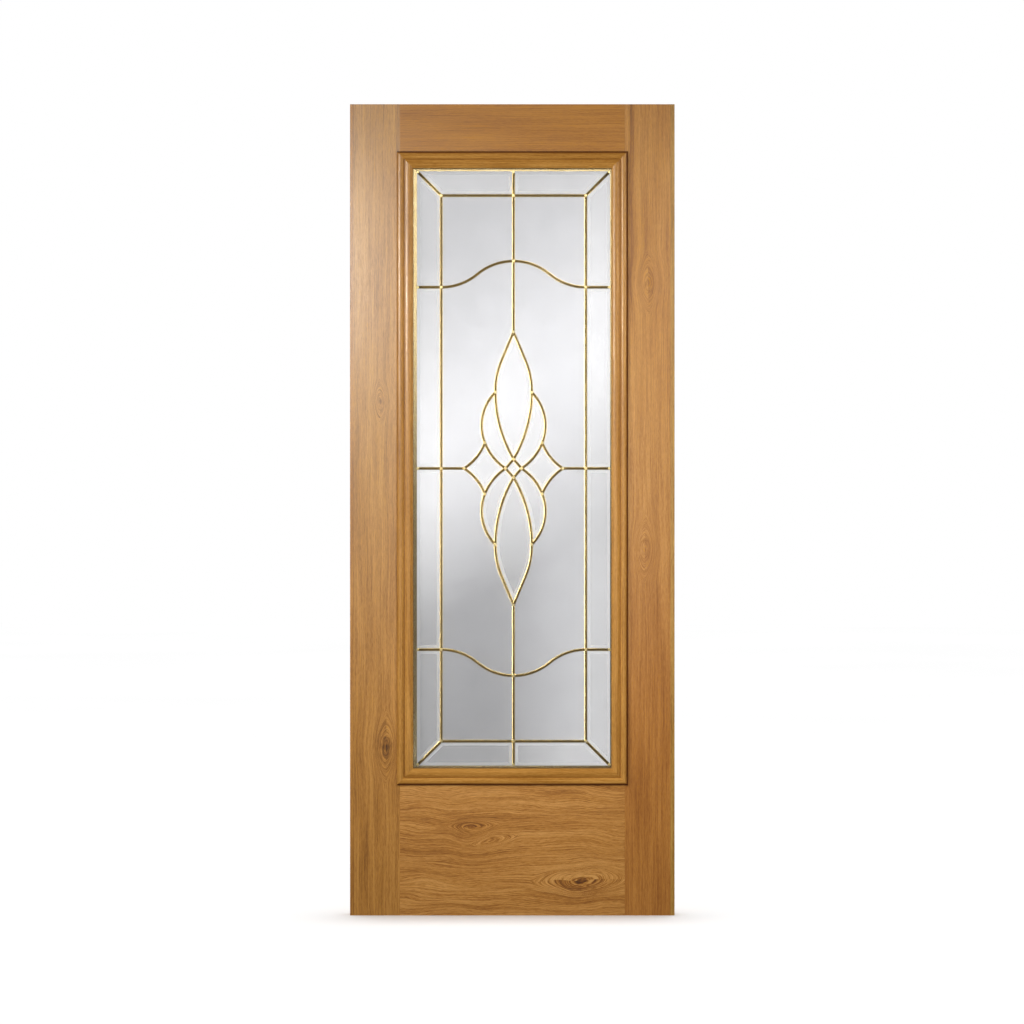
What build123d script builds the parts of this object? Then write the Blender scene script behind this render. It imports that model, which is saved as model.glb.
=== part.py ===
"""Glazed oak door leaf: two stiles and two rails round one tall opening, with mitred
mouldings on both faces and a sealed unit that holds a panel of bevelled glass in brass came.

Millimetres. X runs across the leaf, Y through its thickness with the front at -Y, Z up.
The origin is the middle of the bottom edge."""

import os

from build123d import *

# Leaf
leaf_width = 813
leaf_height = 2032
leaf_thickness = 44
stile_width = 125
lipping_width = 10
top_rail_height = 127
bottom_rail_height = 335
arris = 1

# Loose tenons that join the rails to the stiles: middle and height as shares of the rail's height
tenon_thickness = 14
tenon_length = 110
tenon_clearance = 0.1
top_tenon_shares = ((0.5, 0.5),)
bottom_tenon_shares = ((0.25, 0.3), (0.75, 0.3))

# Moulding section: an outer round, a quirk, and a flatter swell that falls to the glass
moulding_width = 41
moulding_lap = 8
moulding_edge = 4
round_width = 18
round_height = 9
quirk_width = 2
quirk_height = 2.5
swell_width = 20
swell_height = 5
swell_share = 0.4
lip_height = 1
leg_width = 14

# Sealed unit
unit_thickness = 28
unit_clearance = 4
unit_offset = 3
pane_thickness = 4
tape_thickness = 2
seal_width = 5
spacer_width = 6
block_length = 100
block_share = 0.25

# Brass came, an H section: face width, heart, and depth over both faces
came_width = 7
came_heart = 1.6
came_depth = 7
came_flange = 1.4
came_slope = 1.5
border_reveal = 6
glass_thickness = 4
glass_clearance = 0.2
bevel_depth = 2

# Came pattern from the middle of the panel: heights and widths as shares of the inner rectangle's halves
border_width = 67
cross_height_share = 0.664
wave_rise_share = 0.096
petal_tip_share = 0.5
petal_waist_share = 0.279
petal_width_share = 0.253
petal_shoulder_shares = (0.654, 0.527)
diamond_width_share = 0.11
diamond_height_share = 0.0336
star_middle_share = 0.397
star_width_share = 0.286
star_height_share = 0.0935
star_sag_share = 0.125
bevel_share = 0.5

overrun = 5
both_sides = (-1, 1)

half_leaf = leaf_width / 2
half_thickness = leaf_thickness / 2
opening_half_width = half_leaf - stile_width
opening_bottom = bottom_rail_height
opening_top = leaf_height - top_rail_height
opening_half_height = (opening_top - opening_bottom) / 2
opening_middle = (opening_top + opening_bottom) / 2

lip_inside = moulding_width - moulding_lap
sight_half_width = opening_half_width - lip_inside
sight_half_height = opening_half_height - lip_inside

half_unit = unit_thickness / 2
bead_seat = half_unit + tape_thickness
unit_half_width = opening_half_width - leg_width - unit_clearance
unit_half_height = opening_half_height - leg_width - unit_clearance
unit_plane = Plane(origin=(unit_offset, 0, opening_middle), x_dir=(1, 0, 0), z_dir=(0, -1, 0))


def save(part, name):
    part.label = name
    export_step(part, f"parts/{name}.step")


os.makedirs("parts", exist_ok=True)

# Stiles with their lippings, and blind mortises for the tenons
rails = (
    ("top_rail", opening_top, leaf_height, top_tenon_shares),
    ("bottom_rail", 0, opening_bottom, bottom_tenon_shares),
)
tenons = {
    name: [(low + middle * (high - low), height * (high - low)) for middle, height in shares]
    for name, low, high, shares in rails
}
mortise_thickness = tenon_thickness + 2 * tenon_clearance
mortise_depth = tenon_length / 2 + tenon_clearance

for side, name in zip(both_sides, ("left", "right")):
    core_width = stile_width - lipping_width
    joint_x = side * opening_half_width
    with BuildPart() as stile:
        with BuildSketch(Plane.XZ.offset(-half_thickness)):
            with Locations((joint_x + side * core_width / 2, leaf_height / 2)):
                Rectangle(core_width, leaf_height)
        extrude(amount=leaf_thickness)
        for middle, height in tenons["top_rail"] + tenons["bottom_rail"]:
            with BuildSketch(Plane((joint_x, 0, middle), x_dir=(0, 1, 0), z_dir=(side, 0, 0))):
                Rectangle(mortise_thickness, height + 2 * tenon_clearance)
            extrude(amount=mortise_depth, mode=Mode.SUBTRACT)
    save(stile.part, f"{name}_stile")

    with BuildPart() as lipping:
        with BuildSketch(Plane.XZ.offset(-half_thickness)):
            with Locations((side * (half_leaf - lipping_width / 2), leaf_height / 2)):
                Rectangle(lipping_width, leaf_height)
        extrude(amount=leaf_thickness)
        outer_face = lipping.faces().sort_by(Axis.X)[-1 if side > 0 else 0]
        chamfer(outer_face.edges().filter_by(Axis.Z), length=arris)
    save(lipping.part, f"{name}_lipping")

# Rails between the stiles, and the tenons
for name, low, high, shares in rails:
    with BuildPart() as rail:
        with BuildSketch(Plane.XZ.offset(-half_thickness)):
            with Locations((0, (low + high) / 2)):
                Rectangle(2 * opening_half_width, high - low)
        extrude(amount=leaf_thickness)
        for side in both_sides:
            for middle, height in tenons[name]:
                joint = (side * opening_half_width, 0, middle)
                with BuildSketch(Plane(joint, x_dir=(0, 1, 0), z_dir=(-side, 0, 0))):
                    Rectangle(mortise_thickness, height + 2 * tenon_clearance)
                extrude(amount=mortise_depth, mode=Mode.SUBTRACT)
    save(rail.part, name)

with BuildPart() as loose_tenons:
    for side in both_sides:
        for middle, height in tenons["top_rail"] + tenons["bottom_rail"]:
            with Locations((side * opening_half_width, 0, middle)):
                Box(tenon_length, tenon_thickness, height)
save(loose_tenons.part, "rail_tenons")


def moulding(middle, inward, outward, half_length, leg_depth):
    """One length of moulding, its ends mitred; the leg, where it has one, lines the opening."""
    along = inward.cross(outward)
    swell_start = round_width + quirk_width
    seat_depth = half_thickness - bead_seat
    with BuildPart() as length:
        with BuildSketch(Plane(middle, x_dir=inward, z_dir=along)):
            with BuildLine():
                Line((moulding_lap, 0), (0, 0))
                Line((0, 0), (0, moulding_edge))
                ThreePointArc((0, moulding_edge), (round_width / 2, round_height), (round_width, moulding_edge))
                Line((round_width, moulding_edge), (round_width, quirk_height))
                Line((round_width, quirk_height), (swell_start, quirk_height))
                ThreePointArc(
                    (swell_start, quirk_height),
                    (swell_start + swell_share * swell_width, swell_height),
                    (swell_start + swell_width, -lip_height),
                )
                Polyline(
                    (swell_start + swell_width, -lip_height),
                    (moulding_width, -lip_height),
                    (moulding_width, -seat_depth),
                    (moulding_lap, -seat_depth),
                    (moulding_lap, 0),
                )
            make_face()
            if leg_depth:
                with Locations((moulding_lap, -seat_depth)):
                    Rectangle(leg_width, leg_depth, align=(Align.MIN, Align.MAX))
        extrude(amount=half_length, both=True)
        for end in (along, -along):
            split(bisect_by=Plane(middle + end * half_length, z_dir=end + inward), keep=Keep.BOTTOM)
    return length.part


# Mouldings: the front ones carry a leg that lines the opening, and the back ones close on its end
faces = (
    ("front_moulding", Vector(0, -1, 0), 2 * bead_seat),
    ("back_bead", Vector(0, 1, 0), 0),
)
outer_half_width = opening_half_width + moulding_lap
outer_half_height = opening_half_height + moulding_lap
sides = (
    ("left", Vector(1, 0, 0), outer_half_width, outer_half_height),
    ("right", Vector(-1, 0, 0), outer_half_width, outer_half_height),
    ("top", Vector(0, 0, -1), outer_half_height, outer_half_width),
    ("bottom", Vector(0, 0, 1), outer_half_height, outer_half_width),
)
for face_name, outward, leg_depth in faces:
    for side_name, inward, reach, half_length in sides:
        middle = Vector(0, 0, opening_middle) + outward * half_thickness - inward * reach
        save(moulding(middle, inward, outward, half_length, leg_depth), f"{face_name}_{side_name}")


def ring(back, thickness, outer_inset, width):
    """A flat frame in the sealed unit, its outer edge inset from the edge of the panes."""
    outer_width = 2 * (unit_half_width - outer_inset)
    outer_height = 2 * (unit_half_height - outer_inset)
    with BuildPart() as frame:
        with BuildSketch(unit_plane.offset(back)):
            Rectangle(outer_width, outer_height)
            Rectangle(outer_width - 2 * width, outer_height - 2 * width, mode=Mode.SUBTRACT)
        extrude(amount=thickness)
    return frame.part


# Panes, spacer bars, edge seal, glazing tapes and setting blocks
half_came = came_depth / 2
cavity = half_unit - pane_thickness - half_came
for side, name in zip(both_sides, ("back", "front")):
    with BuildPart() as pane:
        with BuildSketch(unit_plane.offset(side * (half_unit - pane_thickness / 2))):
            Rectangle(2 * unit_half_width, 2 * unit_half_height)
        extrude(amount=pane_thickness / 2, both=True)
    save(pane.part, f"{name}_pane")
    spacer_back = min(side * half_came, side * (half_came + cavity))
    save(ring(spacer_back, cavity, seal_width, spacer_width), f"{name}_spacer")
    tape_back = min(side * half_unit, side * bead_seat)
    save(ring(tape_back, tape_thickness, 0, seal_width + spacer_width), f"{name}_tape")

seal_half = half_unit - pane_thickness
save(ring(-seal_half, 2 * seal_half, 0, seal_width), "edge_seal")

with BuildPart() as blocks:
    with BuildSketch(unit_plane.offset(-half_unit)):
        with Locations([(side * block_share * 2 * unit_half_width, -unit_half_height) for side in both_sides]):
            Rectangle(block_length, unit_clearance, align=(Align.CENTER, Align.MAX))
    extrude(amount=unit_thickness)
save(blocks.part, "setting_blocks")

# Came centrelines
came_inner_half_width = sight_half_width - border_reveal
came_inner_half_height = sight_half_height - border_reveal
glass_lap = came_width / 2 - came_heart / 2 - glass_clearance
panel_half_width = came_inner_half_width + glass_lap
panel_half_height = came_inner_half_height + glass_lap
inner_half_width = sight_half_width - border_width
inner_half_height = sight_half_height - border_width
cross_height = cross_height_share * inner_half_height
wave_rise = wave_rise_share * inner_half_height
wave_height = cross_height + wave_rise
petal_tip = petal_tip_share * inner_half_height
petal_waist = petal_waist_share * inner_half_height
petal_half_width = petal_width_share * inner_half_width
diamond_half_width = diamond_width_share * inner_half_width
diamond_half_height = diamond_height_share * inner_half_height
star_middle = star_middle_share * inner_half_width
star_half_width = star_width_share * inner_half_width
star_half_height = star_height_share * inner_half_height
star_sag = star_sag_share * star_half_width
bevel_width = bevel_share * diamond_half_width
mitre_reach = border_width + overrun
shoulder_x_share, shoulder_height_share = petal_shoulder_shares
shoulder_x = shoulder_x_share * petal_half_width
shoulder_height = petal_waist + shoulder_height_share * (petal_tip - petal_waist)

with BuildLine() as came_lines:
    for side in both_sides:
        # Inner rectangle, centre line above and below the petals, and the line through the star tips
        corner = (inner_half_width, side * inner_half_height)
        Line((side * inner_half_width, -inner_half_height), (side * inner_half_width, inner_half_height))
        Line((-inner_half_width, side * inner_half_height), corner)
        Line((0, side * petal_tip), (0, side * (panel_half_height + overrun)))
        star_tip = side * (star_middle + star_half_width)
        Line((star_tip, 0), (side * (panel_half_width + overrun), 0))
        for up in both_sides:
            # Corner mitre and the cross piece of the border
            corner = (side * inner_half_width, up * inner_half_height)
            Line(corner, (corner[0] + side * mitre_reach, corner[1] + up * mitre_reach))
            cross = (side * inner_half_width, up * cross_height)
            Line(cross, (side * (panel_half_width + overrun), up * cross_height))
            # Wave, two equal arcs from the cross piece to its crest on the centre line
            turn = (side * inner_half_width / 2, up * (cross_height + wave_rise / 2))
            TangentArc(cross, turn, tangent=(-side, 0))
            TangentArc((0, up * wave_height), turn, tangent=(side, 0))
            # Petal side: straight from the tip, round the shoulder to the waist, then in to the diamond
            tip = (0, up * petal_tip)
            waist = (side * petal_half_width, up * petal_waist)
            diamond_top = (0, up * diamond_half_height)
            straight = Line(tip, (side * shoulder_x, up * shoulder_height))
            shoulder = TangentArc(straight @ 1, waist, tangent=straight % 1)
            TangentArc(waist, diamond_top, tangent=shoulder % 1)
            # Star sides, hollow toward the star's middle, and one side of the diamond
            diamond_side = (side * diamond_half_width, 0)
            star_top = (side * star_middle, up * star_half_height)
            SagittaArc((star_tip, 0), star_top, side * up * star_sag)
            hollow = SagittaArc(diamond_side, star_top, -side * up * star_sag)
            Line(diamond_side, diamond_top)
            # Ear, which carries the star's hollow side on and round to the petal's waist
            TangentArc(star_top, waist, tangent=hollow % 1)


def came_strips(width):
    """The came pattern as flat strips of one width."""
    with BuildSketch() as strips:
        add([trace(edge, line_width=width, mode=Mode.PRIVATE).face() for edge in came_lines.edges()])
    return strips.sketch


def windows(width):
    """The openings of the panel between came strips of one width."""
    with BuildSketch() as openings:
        Rectangle(2 * panel_half_width, 2 * panel_half_height)
        add(came_strips(width), mode=Mode.SUBTRACT)
    return openings.faces()


# Glass of the panel, parted along the came hearts: a bevelled motif and border round a plain field
glass_faces = windows(came_heart + 2 * glass_clearance)

border_x = (inner_half_width + panel_half_width) / 2
border_y = (inner_half_height + panel_half_height) / 2
high_y = (cross_height + inner_half_height) / 2
top_y = (wave_height + inner_half_height) / 2
mid_y = cross_height / 2
field_x = (inner_half_width + petal_half_width) / 2
ear_x = (star_middle + petal_half_width) / 2
ear_y = (star_half_height + petal_waist) / 2
quarters = [(side, up) for side in both_sides for up in both_sides]
petals = [(0, up * petal_waist) for up in both_sides]
stars = [(side * star_middle, 0) for side in both_sides]
ears = [(side * ear_x, up * ear_y) for side, up in quarters]
field_middle = [(side * field_x, up * petal_tip) for side, up in quarters]
field_ends = [(side * inner_half_width / 2, up * top_y) for side, up in quarters]
places = {"motif": [(0, 0)] + petals + stars + ears, "field": field_middle + field_ends}
for side, up in quarters:
    side_name = "left" if side < 0 else "right"
    end_name, half_name = ("bottom", "lower") if up < 0 else ("top", "upper")
    places[f"border_{end_name}_{side_name}"] = [(side * inner_half_width / 2, up * border_y)]
    places[f"border_{side_name}_{end_name}"] = [(side * border_x, up * high_y)]
    places[f"border_{side_name}_{half_name}"] = [(side * border_x, up * mid_y)]


def glass_piece(place, is_bevelled):
    """The piece of glass at one place in the pattern, plain or with its front edges ground to a bevel."""
    face = min(glass_faces, key=lambda piece: piece.distance_to(Vertex(*place)))
    with BuildPart() as glass:
        with BuildSketch(unit_plane.offset(-glass_thickness / 2)):
            add(face)
        extrude(amount=glass_thickness)
        if is_bevelled:
            front = glass.faces().sort_by(Axis.Y)[0]
            chamfer(front.edges(), length=bevel_width, length2=bevel_depth, reference=front)
    return glass.part


for name, spots in places.items():
    pieces = [glass_piece(place, name != "field") for place in spots]
    with BuildPart() as group:
        add(pieces)
    save(group.part, f"glass_{name}")

# Brass came: each face is what is left round flared openings, with the hearts between the two faces
channel = came_depth - 2 * came_flange
flares = []
for face in windows(came_width - 2 * came_slope):
    with BuildPart() as flare:
        with BuildSketch(unit_plane.offset(channel / 2)):
            add(face)
        extrude(amount=came_flange + overrun)
        inner = flare.faces().sort_by(Axis.Y)[-1]
        chamfer(inner.edges(), length=came_slope, length2=came_flange, reference=inner)
    flares.append(flare.part)

with BuildSketch() as hearts:
    Rectangle(2 * came_inner_half_width, 2 * came_inner_half_height)
    add(came_strips(came_heart), mode=Mode.INTERSECT)

with BuildPart() as came:
    with BuildSketch(unit_plane.offset(channel / 2)):
        Rectangle(2 * came_inner_half_width, 2 * came_inner_half_height)
    extrude(amount=came_flange)
    add(flares, mode=Mode.SUBTRACT)
    mirror(about=unit_plane)
    with BuildSketch(unit_plane.offset(-channel / 2)):
        add(hearts.sketch)
    extrude(amount=channel)
save(came.part, "brass_came")

# Border came: the same H section, its outer half gripped between the spacer bars
with BuildPart() as border:
    for side in both_sides:
        with BuildSketch(unit_plane.offset(side * channel / 2)):
            Rectangle(2 * (unit_half_width - seal_width), 2 * (unit_half_height - seal_width))
            Rectangle(2 * came_inner_half_width, 2 * came_inner_half_height, mode=Mode.SUBTRACT)
        extrude(amount=side * came_flange)
    heart_half_width = panel_half_width + glass_clearance
    heart_half_height = panel_half_height + glass_clearance
    with BuildSketch(unit_plane.offset(-channel / 2)):
        Rectangle(2 * (heart_half_width + came_heart), 2 * (heart_half_height + came_heart))
        Rectangle(2 * heart_half_width, 2 * heart_half_height, mode=Mode.SUBTRACT)
    extrude(amount=channel)
save(border.part, "border_came")
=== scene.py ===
"""Glazed oak door leaf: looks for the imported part, in its own frame, metres, front at -Y."""

import math

import bpy
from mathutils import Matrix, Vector


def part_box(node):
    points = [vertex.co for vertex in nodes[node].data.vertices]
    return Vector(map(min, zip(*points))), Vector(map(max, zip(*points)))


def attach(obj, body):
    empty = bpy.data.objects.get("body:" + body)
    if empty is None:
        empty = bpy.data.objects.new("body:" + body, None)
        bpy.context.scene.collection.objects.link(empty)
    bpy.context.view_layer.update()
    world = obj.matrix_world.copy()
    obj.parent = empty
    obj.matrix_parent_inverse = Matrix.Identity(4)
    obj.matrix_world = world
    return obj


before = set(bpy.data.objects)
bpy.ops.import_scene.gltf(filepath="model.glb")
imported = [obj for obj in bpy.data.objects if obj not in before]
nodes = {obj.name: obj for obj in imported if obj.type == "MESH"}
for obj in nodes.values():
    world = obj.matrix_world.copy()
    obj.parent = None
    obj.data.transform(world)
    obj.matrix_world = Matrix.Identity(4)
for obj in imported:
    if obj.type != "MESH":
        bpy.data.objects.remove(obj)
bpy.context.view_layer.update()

# Stiles and rails: four oak boards, planed and sanded, with the grain up the stiles and along the rails.
# Loose tenons hold them, and each joint shows only as a fine line where the grain turns.
MM = 0.001


def linear(text):
    """sRGB hex as linear red, green, blue and alpha."""
    parts = [int(text[i : i + 2], 16) / 255 for i in (0, 2, 4)]
    return [c / 12.92 if c <= 0.04045 else ((c + 0.055) / 1.055) ** 2.4 for c in parts] + [1.0]


def add(tree, kind, *values, inputs=None, ramp=None, out=0, **settings):
    """One shader node: values fill its sockets in order, inputs fill them by name, and sockets are linked."""
    made = tree.nodes.new("ShaderNode" + kind)
    for key, value in settings.items():
        setattr(made, key, value)
    for key, value in [*enumerate(values), *(inputs or {}).items()]:
        if isinstance(value, bpy.types.NodeSocket):
            tree.links.new(value, made.inputs[key])
        else:
            made.inputs[key].default_value = value
    if ramp:
        stops = made.color_ramp.elements
        while len(stops) < len(ramp):
            stops.new(0.5)
        for stop, (place, text) in zip(stops, ramp):
            stop.position = place
            stop.color = linear(text)
    return made.outputs[out] if made.outputs else made


def start_material(name):
    """A new material with its own node tree, and the principled shader that ends it."""
    material = bpy.data.materials.new(name)
    material.use_nodes = True
    shader = material.node_tree.nodes["Principled BSDF"]
    return material, material.node_tree, shader


def dress(names, material):
    """Puts a material on CAD nodes."""
    for name in names:
        for slot in nodes[name].material_slots:
            slot.material = material


def oak(
    name, upright, log, tones, knots=(), streaks=(), wave=3.5 * MM, drift=None, moulding_shade=None, shine=0.5
):
    """Satin lacquered oak: open pores and growth rings give fine lines along the grain, flowing round knots.

    The grain runs up an upright board and along any other. log is where in an endless log the board is cut,
    so that no two boards match. tones are its dark, middle and light colours, and wave is how far its grain
    strays. A knot is (x, z, radius, darkness), and a streak is (x, half width, faint end z, dark end z).
    drift is a tint that comes in along the board, (start, end, tint). moulding_shade is painted shade in a
    moulding's quirk and along its outer edge, (axis, outer edge, sign, edge shade colour). shine is how
    strongly the lacquer reflects.
    """
    material, tree, shader = start_material(name)
    place = add(tree, "TexCoord", out="Object")
    axes = {axis: add(tree, "SeparateXYZ", place, out=axis) for axis in "XYZ"}
    along, across = (axes["Z"], axes["X"]) if upright else (axes["X"], axes["Z"])

    # The grain strays to and fro over a hand's length
    strays_per_metre = (6, 11, 11)
    board = add(tree, "CombineXYZ", along, across, axes["Y"])
    shifted = add(tree, "Mapping", board, inputs={"Location": log, "Scale": strays_per_metre})
    stray = add(tree, "TexNoise", inputs={"Vector": shifted, "Scale": 1, "Detail": 1})
    stray = add(tree, "Math", stray, 0.5, operation="SUBTRACT")
    flow = add(tree, "Math", stray, 2 * wave, across, operation="MULTIPLY_ADD")

    # It parts round each knot, and closes inside it into rings that are longer along the grain
    cores = []
    bold = 1.0
    for x, z, radius, darkness in knots:
        knot_along, knot_across = (z, x) if upright else (x, z)
        parted_length = 4 * radius
        ring_shape = 0.6
        heart = (0.05, 0.4, darkness)
        halo = (0.2, 1.8, 0.3 * darkness)
        ringed = (0.3, 2, min(0.7, 5 * darkness))
        ahead = add(tree, "Math", along, knot_along, operation="SUBTRACT")
        ahead = add(tree, "Math", stray, 2.4 * wave, ahead, operation="MULTIPLY_ADD")
        ahead = add(tree, "Math", ahead, operation="ABSOLUTE")
        swell = add(tree, "MapRange", ahead, 0, parted_length, radius**2, 0, interpolation_type="SMOOTHSTEP")
        aside = add(tree, "Math", flow, knot_across, operation="SUBTRACT")
        square = add(tree, "Math", aside, aside, operation="MULTIPLY")
        parted = add(tree, "Math", square, swell, operation="SUBTRACT")
        parted = add(tree, "Math", add(tree, "Math", parted, operation="ABSOLUTE"), operation="SQRT")
        way = add(tree, "Math", aside, operation="SIGN")
        flow = add(tree, "Math", parted, way, knot_across, operation="MULTIPLY_ADD")
        reach = add(tree, "Math", ahead, ring_shape, operation="MULTIPLY")
        far = add(tree, "Math", reach, reach, square, operation="MULTIPLY_ADD")
        far = add(tree, "Math", far, operation="SQRT")
        zones = []
        for inner, outer, depth in (heart, halo, ringed):
            inner, outer = inner * radius, outer * radius
            zones.append(add(tree, "MapRange", far, inner, outer, depth, 0, interpolation_type="SMOOTHSTEP"))
        *dark_parts, near = zones
        cores += dark_parts
        bold = add(tree, "Math", near, bold, operation="ADD")
    grain_place = add(tree, "CombineXYZ", along, flow, axes["Y"])

    # Broad figure, growth rings, and pores, which are drawn wider than real ones so that they show.
    # The tone starts below nothing by half of what they add, so that it is even about its middle.
    layers = {}
    tone = -0.52
    for layer, width, length, detail, strength in (
        ("figure", 22 * MM, 320 * MM, 2, 0.26),
        ("rings", 1.4 * MM, 180 * MM, 2, 0.42),
        ("pores", 0.6 * MM, 13 * MM, 1, 0.36),
    ):
        scale = (1 / length, 1 / width, 1 / width)
        stretched = add(tree, "Mapping", grain_place, inputs={"Location": log, "Scale": scale})
        layers[layer] = add(
            tree, "TexNoise", inputs={"Vector": stretched, "Scale": 1, "Detail": detail, "Roughness": 0.6}
        )
        tone = add(tree, "Math", layers[layer], strength, tone, operation="MULTIPLY_ADD")
    tone = add(tree, "Math", tone, bold, 0.5, operation="MULTIPLY_ADD")
    for core in cores:
        tone = add(tree, "Math", tone, core, operation="SUBTRACT")
    streak_depth = 0.12
    for x, half_width, faint, dark_end in streaks:
        beside = add(tree, "Math", add(tree, "Math", flow, x, operation="SUBTRACT"), operation="ABSOLUTE")
        streak = add(
            tree, "MapRange", beside, 0, half_width, streak_depth, 0, interpolation_type="SMOOTHSTEP"
        )
        reach = add(tree, "MapRange", along, faint, dark_end, 0, 1, interpolation_type="SMOOTHSTEP")
        streak = add(tree, "Math", streak, reach, operation="MULTIPLY")
        tone = add(tree, "Math", tone, streak, operation="SUBTRACT")
    dark, middle, light = tones
    knot_brown = "3E230D"
    ramp = [(0.12, knot_brown), (0.39, dark), (0.5, middle), (0.61, light)]
    color = add(tree, "ValToRGB", tone, ramp=ramp)

    # Tints over the wood: the drift along a board, and painted shade in a moulding's quirk and along its
    # outer edge
    tints = []
    if drift:
        start, end, tint = drift
        change = add(tree, "MapRange", along, start, end, interpolation_type="SMOOTHSTEP")
        tints.append((change, linear(tint)))
    if moulding_shade:
        axis, edge, sign, edge_shade_color = moulding_shade
        moulding_width = 41 * MM
        # Painted shade: a darker tint along the moulding's outer edge and in its quirk, where shade falls
        unshaded, quirk_shade_color = "FFFFFF", "B8A488"
        inside = add(tree, "Math", axes[axis], edge, operation="SUBTRACT")
        inside = add(tree, "Math", inside, sign / moulding_width, operation="MULTIPLY")
        ramp = [(0.0, edge_shade_color), (0.05, edge_shade_color), (0.15, unshaded)]
        ramp += [(0.43, unshaded), (0.46, quirk_shade_color), (0.5, unshaded)]
        tints.append((1.0, add(tree, "ValToRGB", inside, ramp=ramp)))
    for amount, tint in tints:
        color = add(
            tree, "Mix", amount, inputs={6: color, 7: tint}, out=2, data_type="RGBA", blend_type="MULTIPLY"
        )
    tree.links.new(color, shader.inputs["Base Color"])

    # The lacquer lies glossy on the pale lines and duller in the pores, which dip a little
    dull, glossy = 0.58, 0.26
    pore_depth = 0.15 * MM
    lines = add(tree, "Math", layers["rings"], layers["pores"], operation="ADD")
    gloss = add(tree, "MapRange", lines, 0.76, 1.24, dull, glossy)
    tree.links.new(gloss, shader.inputs["Roughness"])
    relief = add(tree, "Bump", inputs={"Strength": 0.6, "Distance": pore_depth, "Height": lines})
    tree.links.new(relief, shader.inputs["Normal"])
    shader.inputs["IOR"].default_value = 1.5
    shader.inputs["Specular IOR Level"].default_value = shine
    return material


# The left stile is a straight grained yellow board with a dark knot low down
dress(
    ["left_stile"],
    oak(
        "lacquered oak, left stile",
        True,
        (3.1, 0.7, 0.2),
        ("8F5F1F", "B27D36", "CB984D"),
        drift=(1.3, 0.2, "F8F0E8"),
        knots=((-0.332, 1.286, 0.016, 0.06), (-0.3165, 0.422, 0.024, 0.24)),
    ),
)
# The right stile is redder towards its foot, with two faint knots and a dark streak at its top inner edge
dress(
    ["right_stile"],
    oak(
        "lacquered oak, right stile",
        True,
        (7.4, 2.3, 1.2),
        ("965F20", "B07831", "C89146"),
        drift=(1.2, 0.4, "F2E4DA"),
        knots=((0.340, 1.584, 0.022, 0.05), (0.3325, 0.918, 0.022, 0.05)),
        streaks=((0.298, 0.011, 1.45, 1.95),),
    ),
)
# The top rail is an even reddish board
dress(
    ["top_rail"],
    oak("lacquered oak, top rail", False, (11.8, 4.1, 2.2), ("986124", "AD732E", "BE8437"), shine=0.3),
)
# The bottom rail's grain wanders widely, round one dark knot and two faint ones
dress(
    ["bottom_rail"],
    oak(
        "lacquered oak, bottom rail",
        False,
        (5.2, 9.3, 3.2),
        ("865019", "B47932", "D19A54"),
        knots=((-0.094, 0.229, 0.018, 0.03), (-0.046, 0.194, 0.014, 0.03), (0.171, 0.086, 0.032, 0.14)),
        wave=24 * MM,
    ),
)

# Lippings: a 10 mm strip of oak glued to each long edge, so that the edge can be planed to fit.
# The right one is a yellower piece, and shows as a line down the face.
for side, log, tones in (
    ("left", (1.3, 6.4, 4.1), ("8C581B", "AC752F", "C68F46")),
    ("right", (9.2, 8.8, 5.1), ("865C1C", "A67A32", "C0964A")),
):
    dress([f"{side}_lipping"], oak(f"lacquered oak, {side} lipping", True, log, tones))

# Loose tenons: flat slips of beech glued into mortises in both boards, where a rail meets a stile.
# They are hidden in the joints, and only a cut through the leaf shows them.
flecks_per_metre = (30, 400, 400)

# Planed beech: pale, even and matt, with short darker flecks along the slip
beech, tree, shader = start_material("planed beech")
place = add(tree, "TexCoord", out="Object")
stretched = add(tree, "Mapping", place, inputs={"Scale": flecks_per_metre})
fleck = add(tree, "TexNoise", inputs={"Vector": stretched, "Scale": 1, "Detail": 3})
beech_color = add(tree, "ValToRGB", fleck, ramp=[(0.3, "B98D63"), (0.7, "D6B48C")])
tree.links.new(beech_color, shader.inputs["Base Color"])
shader.inputs["Roughness"].default_value = 0.6
dress(["rail_tenons"], beech)

# Mouldings: oak run to an outer round and an inner swell, mitred at the corners and pinned round the opening.
# Shade is painted into the quirk and along the outer edge, only faintly on the left mouldings, which face the
# light.
moulding_sides = (("left", "X", 1), ("right", "X", -1), ("top", "Z", -1), ("bottom", "Z", 1))
for face, cut in (("front_moulding", 6.0), ("back_bead", 12.0)):
    for count, (side, axis, sign) in enumerate(moulding_sides):
        name = f"{face}_{side}"
        low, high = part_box(name)
        outer = (low if sign > 0 else high)["XYZ".index(axis)]
        dress(
            [name],
            oak(
                f"lacquered oak, {name.replace('_', ' ')}",
                axis == "X",
                (2.7 * count + cut, cut - 1.9 * count, cut),
                ("925F1E", "B07A32", "CA9449"),
                # Painted shade on the outer edge: faint on the left mouldings, which face the light, dark on
                # the others
                moulding_shade=(axis, outer, sign, "F4F0EA" if side == "left" else "94703C"),
                shine=0.3,
            ),
        )

# Sealed unit: two float glass panes held apart by mill aluminium spacer bars, with black sealant round the
# edge. It sits on setting blocks in the opening, bedded on foam tape under the mouldings.
rolls_per_metre = 5

# Float glass: clear and smooth, with a very slight roll that bends what it reflects
float_glass, tree, shader = start_material("clear float glass")
shader.inputs["Base Color"].default_value = linear("FAFAFB")
shader.inputs["Roughness"].default_value = 0.0
shader.inputs["IOR"].default_value = 1.5
shader.inputs["Transmission Weight"].default_value = 1.0
place = add(tree, "TexCoord", out="Object")
ripple = add(tree, "TexNoise", inputs={"Vector": place, "Scale": rolls_per_metre, "Detail": 1})
waviness = add(tree, "Bump", inputs={"Strength": 0.02, "Distance": 1 * MM, "Height": ripple})
tree.links.new(waviness, shader.inputs["Normal"])
dress(["front_pane", "back_pane"], float_glass)
for name in ("front_pane", "back_pane"):
    nodes[name].visible_shadow = False


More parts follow.
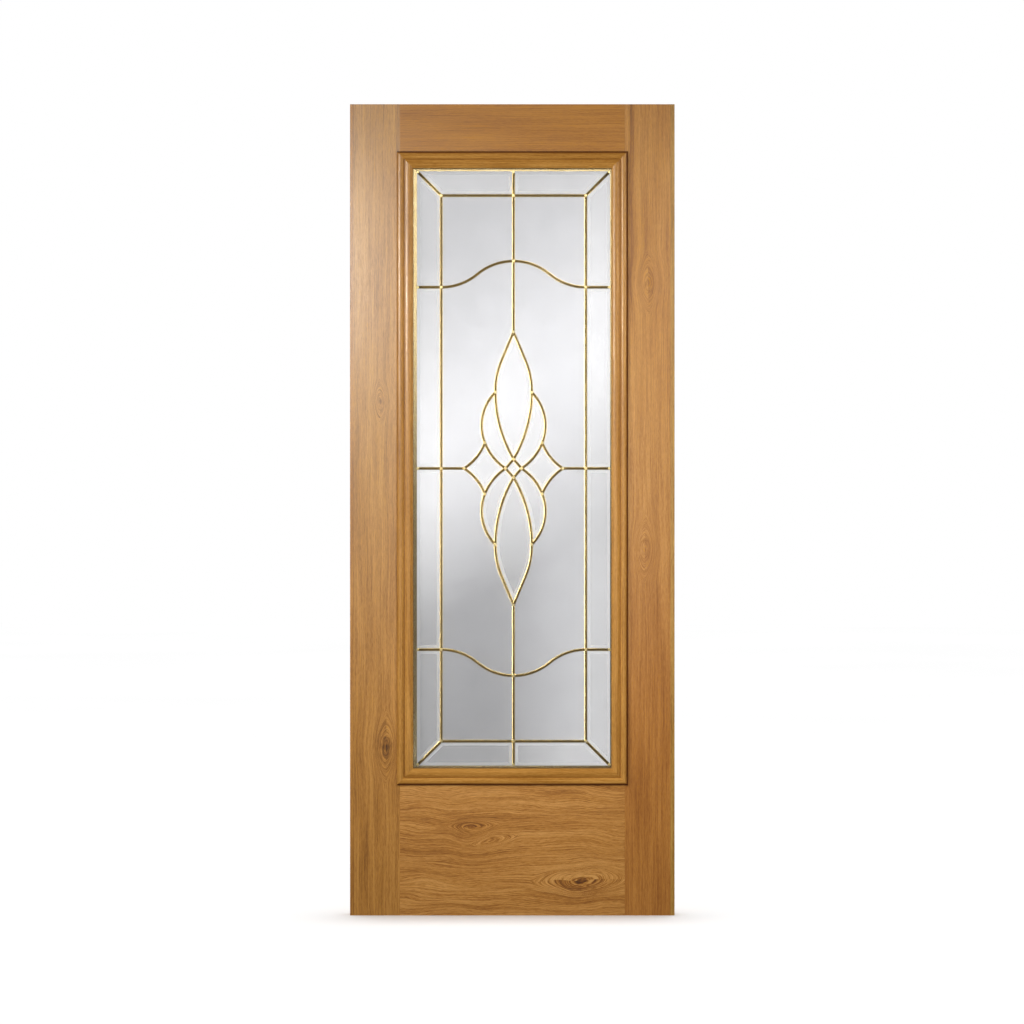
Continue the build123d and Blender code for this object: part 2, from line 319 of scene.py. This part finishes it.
def plain(name, color, other, size, roughness, metallic=0.0):
    """A plain finish of two close tones in soft patches of one size."""
    material, tree, shader = start_material(name)
    place = add(tree, "TexCoord", out="Object")
    patches = add(tree, "TexNoise", inputs={"Vector": place, "Scale": 1 / size, "Detail": 3})
    tones = add(tree, "ValToRGB", patches, ramp=[(0.35, color), (0.65, other)])
    tree.links.new(tones, shader.inputs["Base Color"])
    shader.inputs["Roughness"].default_value = roughness
    shader.inputs["Metallic"].default_value = metallic
    return material


# Mill aluminium: silvery and a little dull. Butyl and foam: black, soft and matt. Moulded plastic: an even
# half matt green.
dress(["front_spacer", "back_spacer"], plain("mill aluminium", "9C9D9E", "B4B5B6", 20 * MM, 0.35, 1.0))
dress(["edge_seal"], plain("butyl sealant", "0E0E0F", "191919", 15 * MM, 0.7))
dress(["front_tape", "back_tape"], plain("foam glazing tape", "1A1A1B", "262627", 5 * MM, 0.85))
dress(["setting_blocks"], plain("plastic setting block", "24482E", "2E5738", 10 * MM, 0.5))

# Glass of the panel: the field is satin etched, and the motif and border are clear pieces whose edges are
# ground to a bevel. The pieces are held in the slots of the came.
glass_ior = 1.5
clear_share, bevel_share = 0.84, 0.62
polish, grind = 0.03, 0.3

# Satin etched glass: a thin even haze that softens what is behind it
satin_glass = plain("satin etched glass", "ECECED", "F0F0F1", 60 * MM, 0.12)
satin = satin_glass.node_tree.nodes["Principled BSDF"]
satin.inputs["IOR"].default_value = glass_ior
satin.inputs["Transmission Weight"].default_value = clear_share
dress(["glass_field"], satin_glass)

# Bevelled glass: clear on the flat, while the ground slope keeps a faint haze and shows as a white line
bevel_glass = plain("polished bevelled glass", "F2F2F2", "F6F6F6", 60 * MM, polish)
tree = bevel_glass.node_tree
shader = tree.nodes["Principled BSDF"]
shader.inputs["IOR"].default_value = glass_ior
facing = add(tree, "SeparateXYZ", add(tree, "NewGeometry", out="True Normal"), out="Y")
flatness = add(tree, "Math", facing, operation="ABSOLUTE")
for socket, on_bevel, on_flat in (
    ("Transmission Weight", bevel_share, clear_share),
    ("Roughness", grind, polish),
):
    surface = add(tree, "MapRange", flatness, 0.985, 0.995, on_bevel, on_flat)
    tree.links.new(surface, shader.inputs[socket])
dress([name for name in nodes if name.startswith("glass_") and name != "glass_field"], bevel_glass)

# Brass came: drawn H strips with sloped faces, bent and cut to the pattern and soldered where they meet.
# A strip with a flat face runs round the edge of the panel.
blotches_per_metre = 25
blotch_strength = 0.08
came_roughness = 0.26

# Drawn brass: warm and half bright, in soft blotches, with shade painted on the face that looks out of the
# panel, so that the slopes stay pale
brass, tree, shader = start_material("drawn brass")
facing = add(tree, "SeparateXYZ", add(tree, "NewGeometry", out="True Normal"), out="Y")
flatness = add(tree, "Math", facing, operation="ABSOLUTE")
place = add(tree, "TexCoord", out="Object")
patches = add(tree, "TexNoise", inputs={"Vector": place, "Scale": blotches_per_metre, "Detail": 3})
# Painted shade: the colour darkens the more a surface faces straight out of the panel
blotches_and_face_shade = add(tree, "Math", patches, blotch_strength, flatness, operation="MULTIPLY_ADD")
brass_color = add(tree, "ValToRGB", blotches_and_face_shade, ramp=[(0.8, "DCC486"), (1.0, "8C7034")])
tree.links.new(brass_color, shader.inputs["Base Color"])
shader.inputs["Roughness"].default_value = came_roughness
shader.inputs["Metallic"].default_value = 1.0
dress(["brass_came"], brass)

# Polished brass: paler and more even than the strips, which have shade painted on their faces
dress(["border_came"], plain("polished brass", "D2BA82", "DECA98", 40 * MM, came_roughness, 1.0))

# Solder joints: a drop of brass coloured solder is run into each meeting of the came, on both faces.
# It sets as a low bright dome with a small dip where the iron was lifted off.
dome_radius = 3.9 * MM
dome_rise = 1.3 * MM
crown = 0.9 * dome_rise
dip = 0.45 * dome_rise
bpy.ops.object.select_all(action="DESELECT")
bpy.ops.mesh.primitive_uv_sphere_add(
    segments=16, ring_count=10, radius=dome_radius, rotation=(math.pi / 2, 0, 0)
)
dome = bpy.context.object
bpy.ops.object.transform_apply()
bpy.ops.object.mode_set(mode="EDIT")
bpy.ops.mesh.select_all(action="SELECT")
bpy.ops.mesh.bisect(plane_co=(0, 0, 0), plane_no=(0, 1, 0), use_fill=True, clear_outer=True)
bpy.ops.mesh.select_all(action="SELECT")
bpy.ops.transform.resize(value=(1, dome_rise / dome_radius, 1), center_override=(0, 0, 0))
bpy.ops.mesh.select_all(action="DESELECT")
bpy.ops.object.mode_set(mode="OBJECT")
for vertex in dome.data.vertices:
    vertex.select = vertex.co.y < -crown
bpy.ops.object.mode_set(mode="EDIT")
bpy.ops.mesh.select_mode(type="VERT")
bpy.ops.transform.translate(value=(0, dip, 0))
bpy.ops.object.mode_set(mode="OBJECT")
bpy.ops.object.shade_smooth_by_angle(angle=math.radians(60))

# One quarter of the joints in millimetres from the middle of the panel, turned over to the other three
panel_middle = (3 * MM, 1120 * MM)
quarter = [(181.5, 685), (181.5, 454.8), (240.5, 454.8), (0, 520.6), (0, 342.5), (45.9, 191.1), (20, 0)]
quarter += [(0, 23), (72.1, 64), (124, 0), (181.5, 0), (240.5, 0), (0, 685), (0, 744), (240.5, 744)]
joints = sorted({(a * x * MM, b * z * MM) for x, z in quarter for a in (-1, 1) for b in (-1, 1)})
came_front, came_back = [corner[1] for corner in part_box("brass_came")]
drops = []
for x, z in joints:
    for y, turn in ((came_front, 0), (came_back, math.pi)):
        drop = dome.copy()
        drop.data = dome.data.copy()
        drop.location = (panel_middle[0] + x, y, panel_middle[1] + z)
        drop.rotation_euler = (0, 0, turn)
        bpy.context.scene.collection.objects.link(drop)
        drops.append(drop)
bpy.data.objects.remove(dome)
bpy.ops.object.select_all(action="DESELECT")
for drop in drops:
    drop.select_set(True)
bpy.context.view_layer.objects.active = drops[0]
bpy.ops.object.join()
solder = bpy.context.object
solder.name = "solder_joints"
bpy.ops.object.transform_apply()

# Brass coloured solder: pale and bright, and a little softer in its shine than the strips
solder.data.materials.append(plain("brass coloured solder", "E6D08C", "F2E0A8", 6 * MM, 0.4, 1.0))
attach(solder, "root")

# Floor, camera and light: a pale studio floor, matt and nearly white so that it fades into the background,
# and a long lens square on to the leaf. Soft boxes light the leaf alone, so they cast no shadow on the floor.
bpy.ops.object.select_all(action="DESELECT")
bpy.ops.mesh.primitive_plane_add(size=40, location=(0, 0, 0))
floor = bpy.context.object
floor.name = "studio_floor"
floor.data.materials.append(plain("pale studio floor", "F4F4F4", "F6F6F6", 2.0, 0.9))
floor.visible_diffuse = False
floor.visible_glossy = False
floor.visible_transmission = False

sensor_width = 36
picture_height = 2.565
camera_distance = 8.0
half_thickness = 0.022
camera_data = bpy.data.cameras.new("camera")
camera_data.sensor_width = sensor_width
camera_data.lens = sensor_width * (camera_distance - half_thickness) / picture_height
camera = bpy.data.objects.new("camera", camera_data)
bpy.context.scene.collection.objects.link(camera)
camera.location = (-0.0008, -camera_distance, 1.0105)
camera.rotation_euler = (math.pi / 2, 0, 0)
bpy.context.scene.camera = camera

# A matt light leaves no reflection of itself, and a glint is nothing but its reflection
matt = ("glossy", "transmission")
glint = ("diffuse", "transmission")


def lit_by(name, pieces):
    """The set of pieces that a light reaches."""
    reached = bpy.data.collections.new(f"lit by the {name}")
    for piece in pieces:
        reached.objects.link(piece)
    return reached


def soft_box(name, place, aim, size, power, lit, hidden, height=None):
    """A studio light that faces a point, square unless it has a height, and hidden from some kinds of ray."""
    data = bpy.data.lights.new(name, "AREA")
    data.shape = "RECTANGLE"
    data.size = size
    data.size_y = height or size
    data.energy = power
    lamp = bpy.data.objects.new(name, data)
    bpy.context.scene.collection.objects.link(lamp)
    lamp.location = place
    lamp.rotation_euler = (Vector(aim) - Vector(place)).to_track_quat("-Z", "Y").to_euler()
    lamp.light_linking.receiver_collection = lit
    for ray in ("camera", *hidden):
        setattr(lamp, f"visible_{ray}", False)
    return lamp


leaf_only = lit_by("studio lights", [*nodes.values(), solder])
for name, place, size, power in (
    ("key light", (0.06, -1.45, 1.07), 0.9, 17.6),
    ("top fill", (0, -1.3, 2.3), 0.8, 2),
):
    soft_box(name, place, (0, 0, place[2] - 0.1), size, power, leaf_only, matt)

# A soft box behind shows the oak of the back, and one on each side, just behind the leaf, shows that of the
# long edges
boards = ("_stile", "_rail", "_lipping")
back_names = [name for name in nodes if name.endswith(boards) or "_bead_" in name]
oak_only = lit_by("back fill", [nodes[name] for name in back_names])
soft_box("back fill", (0.8, 2.2, 1.6), (0, 0, 1.0), 1.2, 70, oak_only, matt)
edges_only = lit_by("edge fills", [nodes["left_lipping"], nodes["right_lipping"]])
for side, sign in (("left", -1), ("right", 1)):
    soft_box(f"{side} edge fill", (2.2 * sign, 0.6, 1.2), (0.4 * sign, 0, 1.0), 1.0, 45, edges_only, matt)

# Two warm soft boxes to the sides give the boards and the upright mouldings a sheen
sheen_names = ["left_stile", "right_stile", "left_lipping", "right_lipping", "top_rail", "bottom_rail"]
sheen_names += ["front_moulding_left", "front_moulding_right"]
boards_only = lit_by("sheen lights", [nodes[name] for name in sheen_names])
for side, place, power in (("left", (-0.85, -1.0, 1.7), 50), ("right", (0.9, -1.0, 1.74), 9)):
    sheen = soft_box(f"{side} sheen", place, (place[0] / 3, 0, 1.5), 0.5, power, boards_only, glint)
    sheen.data.color = (1.0, 0.96, 0.9)

# Soft boxes for the brass alone: those at the sides and above light its slopes while its face stays dark, and
# those in front light the border strip and the solder. They show in the brass through the panes, so each is
# sampled as a lamp only.
for name, place, aim_height, size, height, power, lit in (
    ("left came light", (-1.1, -0.45, 1.2), 1.2, 0.8, 1.4, 380, nodes["brass_came"]),
    ("right came light", (1.1, -0.45, 1.3), 1.3, 0.8, 0.8, 60, nodes["brass_came"]),
    ("high came light", (0.8, -0.5, 2.7), 1.3, 0.8, 0.8, 170, nodes["brass_came"]),
    ("high border light", (0, -3, 2.0), 1.3, 1.2, 1.2, 10, nodes["border_came"]),
    ("low border light", (-0.08, -1, 0.27), 0.3, 0.5, 0.2, 0.4, nodes["border_came"]),
    ("solder light", (0, -3, 2.0), 1.3, 1.2, 1.2, 40, solder),
):
    lamp = soft_box(name, place, (0, 0, aim_height), size, power, lit_by(name, [lit]), glint, height)
    lamp.data.cycles.use_multiple_importance_sampling = False

# Far lights: one from the upper left shades the mouldings, and one overhead lights the floor alone
floor_only = lit_by("overhead light", [floor])
for name, place, energy, spread, lit in (
    ("slanting light", (-0.8, -0.6, 0.5), 1.05, 15, leaf_only),
    ("overhead light", (0, 0.021, 1), 3.15, 11, floor_only),
):
    data = bpy.data.lights.new(name, "SUN")
    data.energy = energy
    data.angle = math.radians(spread)
    far_light = bpy.data.objects.new(name, data)
    bpy.context.scene.collection.objects.link(far_light)
    far_light.rotation_euler = Vector(place).to_track_quat("Z", "Y").to_euler()
    far_light.visible_glossy = False
    far_light.light_linking.receiver_collection = lit

# Backdrop: a graded card stands behind the leaf and shows only through the glass, where a soft band of light
# slants across it and its lower right corner glows. Round it all is a white studio.
card_brightness = 1.67
corner_glow = 0.3
bpy.ops.object.select_all(action="DESELECT")
bpy.ops.mesh.primitive_plane_add(size=1, location=(0, 0.4, 1.1), rotation=(math.pi / 2, 0, 0))
card = bpy.context.object
card.name = "graded_card"
card.scale = (1.6, 2.6, 1)
bpy.ops.object.transform_apply()

# Graded card: greys that run from dim at the foot through a white band to pale at the top
card_light = bpy.data.materials.new("graded card")
card_light.use_nodes = True
tree = card_light.node_tree
tree.nodes.clear()
place = add(tree, "TexCoord", out="Object")
x, z = [add(tree, "SeparateXYZ", place, out=axis) for axis in "XZ"]
slant = add(tree, "Math", x, -0.55, z, operation="MULTIPLY_ADD")
slant = add(tree, "MapRange", slant, 0.4, 1.9)
ramp = [(0.05, "878787"), (0.29, "989898"), (0.39, "C8C8C8"), (0.5, "F0F0F0"), (0.6, "FFFFFF")]
ramp += [(0.7, "F8F8F8"), (0.83, "E0E0E0"), (0.97, "CACACA")]
band = add(tree, "ValToRGB", slant, ramp=ramp)
lower = add(tree, "MapRange", z, 1.3, 0.8, interpolation_type="SMOOTHSTEP")
right = add(tree, "MapRange", x, -0.08, 0.2, interpolation_type="SMOOTHSTEP")
corner = add(tree, "Math", lower, right, operation="MULTIPLY")
glow = add(tree, "Math", corner, corner_glow, band, operation="MULTIPLY_ADD")
glow = add(tree, "Math", glow, card_brightness, operation="MULTIPLY")
lamp = add(tree, "Emission", inputs={"Strength": glow})
add(tree, "OutputMaterial", lamp)
card.data.materials.append(card_light)
card.visible_camera = False
card.visible_diffuse = False
card.visible_glossy = False
card.visible_shadow = False

# White studio: it is seen as plain white, and lights the leaf only faintly
studio_fill, studio_white = 0.18, 1.0
world = bpy.data.worlds.new("white studio")
bpy.context.scene.world = world
world.use_nodes = True
tree = world.node_tree
tree.nodes.clear()
seen = add(tree, "LightPath", out="Is Camera Ray")
fill, backdrop = [add(tree, "Background", (1, 1, 1, 1), strength) for strength in (studio_fill, studio_white)]
add(tree, "OutputWorld", add(tree, "MixShader", seen, fill, backdrop))
bpy.context.scene.view_settings.view_transform = "Standard"
